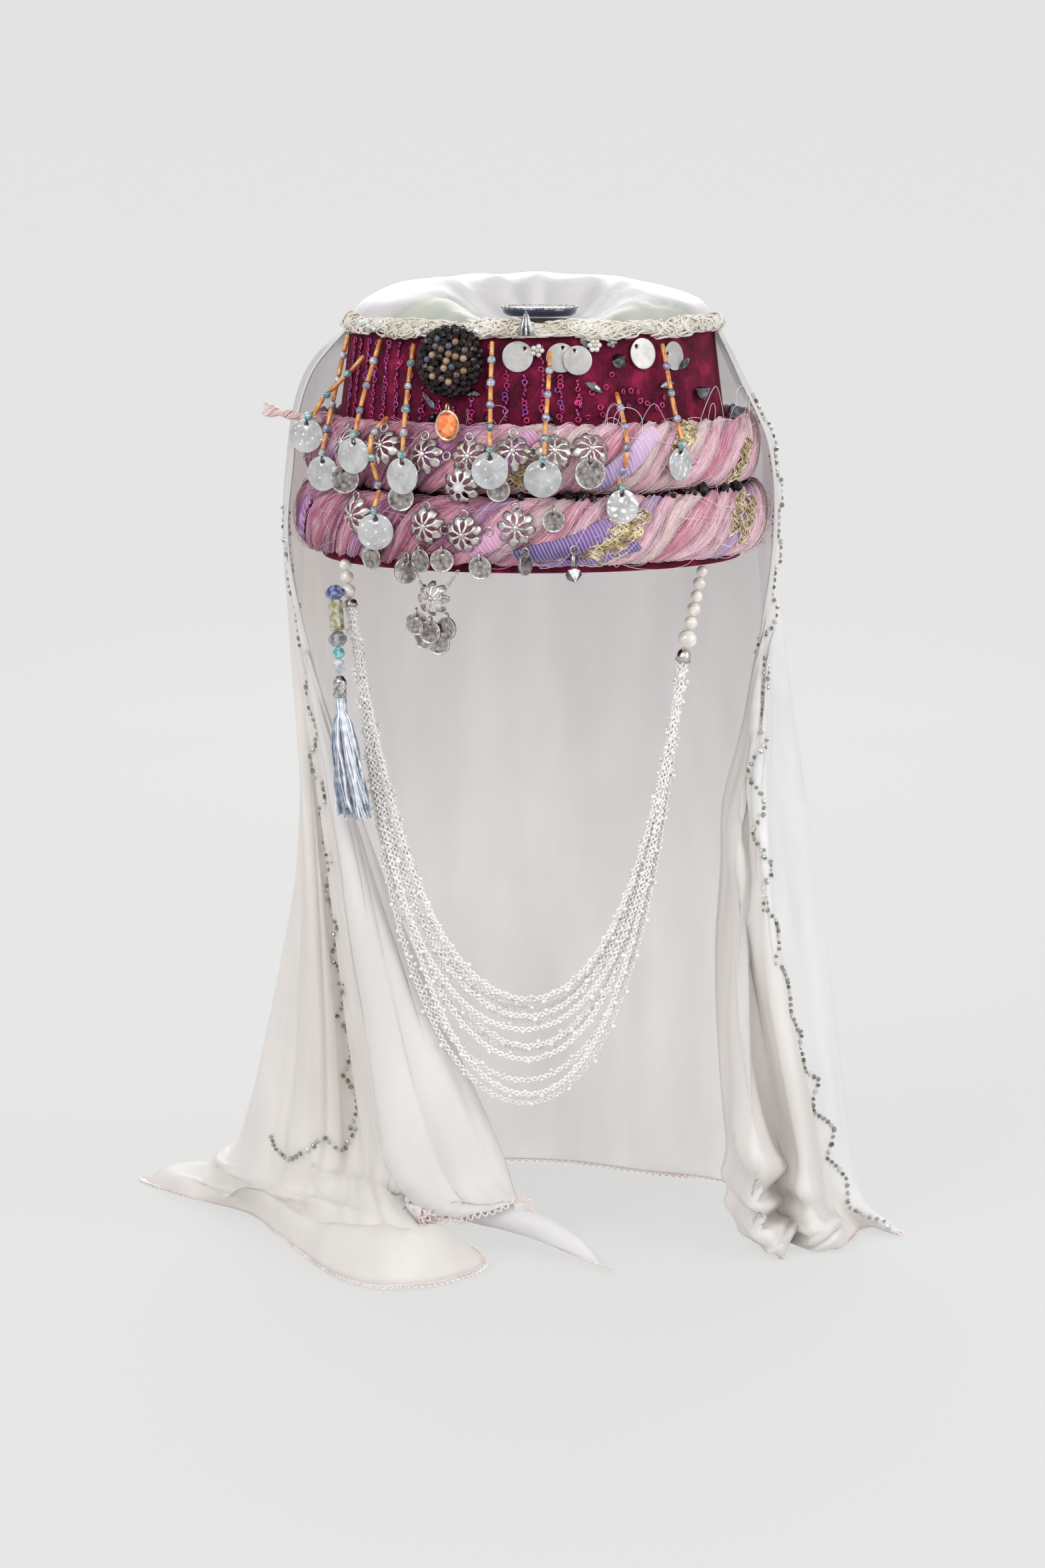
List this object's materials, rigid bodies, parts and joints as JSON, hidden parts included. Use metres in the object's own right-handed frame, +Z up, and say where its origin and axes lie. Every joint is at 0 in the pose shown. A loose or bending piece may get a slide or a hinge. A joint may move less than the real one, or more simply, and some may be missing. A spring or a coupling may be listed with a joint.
{
  "type": "coin fez headdress",
  "caption": "Velvet fez with a silk veil, wound yarn rolls, strings of beads with hanging coins, pierced flower domes, a hanging medallion, a tassel and a beaded chin strap",
  "frame": {"origin": "centre of the fez's rim plane, where it sits on the head", "axes": "+Z up through the crown, -Y towards the front, +X towards the wearer's left (the right in a front view)"},
  "size_m": [0.3246, 0.2548, 0.4024],
  "materials": {
    "velvet": "wine velvet with short pile",
    "veil_silk": "sheer off-white silk",
    "crochet_lace": "matt cream cotton crochet",
    "pink_yarn": "satin sari silk yarn",
    "navy_enamel": "gloss navy with a silver rim",
    "aged_nickel": "aged, darkened in the recesses",
    "hammered_silver": "hammered, bright",
    "black_beads": "polished facets",
    "orange_glass": "polished facets in a gold rim",
    "grey_stud": "polished gunmetal facets",
    "bugle_beads": "gloss",
    "pearl": "lustre",
    "white_strands": "crocheted thread with seed pearls",
    "stack_beads": "gloss",
    "tassel_rayon": "silky rayon"
  },
  "bodies": {
    "root": {"fez_cap": "velvet", "veil": "veil_silk", "crown_lace": "crochet_lace", "crown_disc": "navy_enamel", "bell_bead": "aged_nickel", "yarn_roll_upper": "pink_yarn", "yarn_roll_lower": "pink_yarn", "yarn_tuft": "pink_yarn", "brooch": "black_beads", "brooch_drop": "orange_glass", "bead_string_1": "bugle_beads", "bead_string_2": "bugle_beads", "bead_string_3": "bugle_beads", "bead_string_4": "bugle_beads", "bead_string_5": "bugle_beads", "bead_string_6": "bugle_beads", "bead_string_7": "bugle_beads", "bead_string_8": "bugle_beads", "bead_string_9": "bugle_beads", "filigree_1": "aged_nickel", "filigree_2": "aged_nickel", "filigree_3": "aged_nickel", "filigree_4": "aged_nickel", "filigree_5": "aged_nickel", "filigree_6": "aged_nickel", "filigree_7": "aged_nickel", "filigree_8": "aged_nickel", "filigree_9": "aged_nickel", "filigree_10": "aged_nickel", "filigree_11": "aged_nickel", "filigree_12": "aged_nickel", "small_coin_1": "aged_nickel", "small_coin_2": "aged_nickel", "small_coin_3": "aged_nickel", "small_coin_4": "aged_nickel", "small_coin_5": "aged_nickel", "small_coin_6": "aged_nickel", "small_coin_7": "aged_nickel", "small_coin_8": "aged_nickel", "small_coin_9": "aged_nickel", "small_coin_10": "aged_nickel", "small_coin_11": "aged_nickel", "small_coin_12": "aged_nickel", "sequin_disc_1": "hammered_silver", "sequin_disc_2": "hammered_silver", "sequin_disc_3": "hammered_silver", "sequin_disc_4": "hammered_silver", "sequin_disc_5": "hammered_silver", "stud_1": "grey_stud", "stud_2": "grey_stud", "stud_3": "grey_stud", "stud_4": "grey_stud", "medallion": "aged_nickel", "medallion_coins": "aged_nickel", "strap_pearls_left": "pearl", "strap_pearls_right": "pearl", "strap_strands": "white_strands", "bead_stack": "stack_beads", "tassel": "tassel_rayon"}
  },
  "joints": []
}
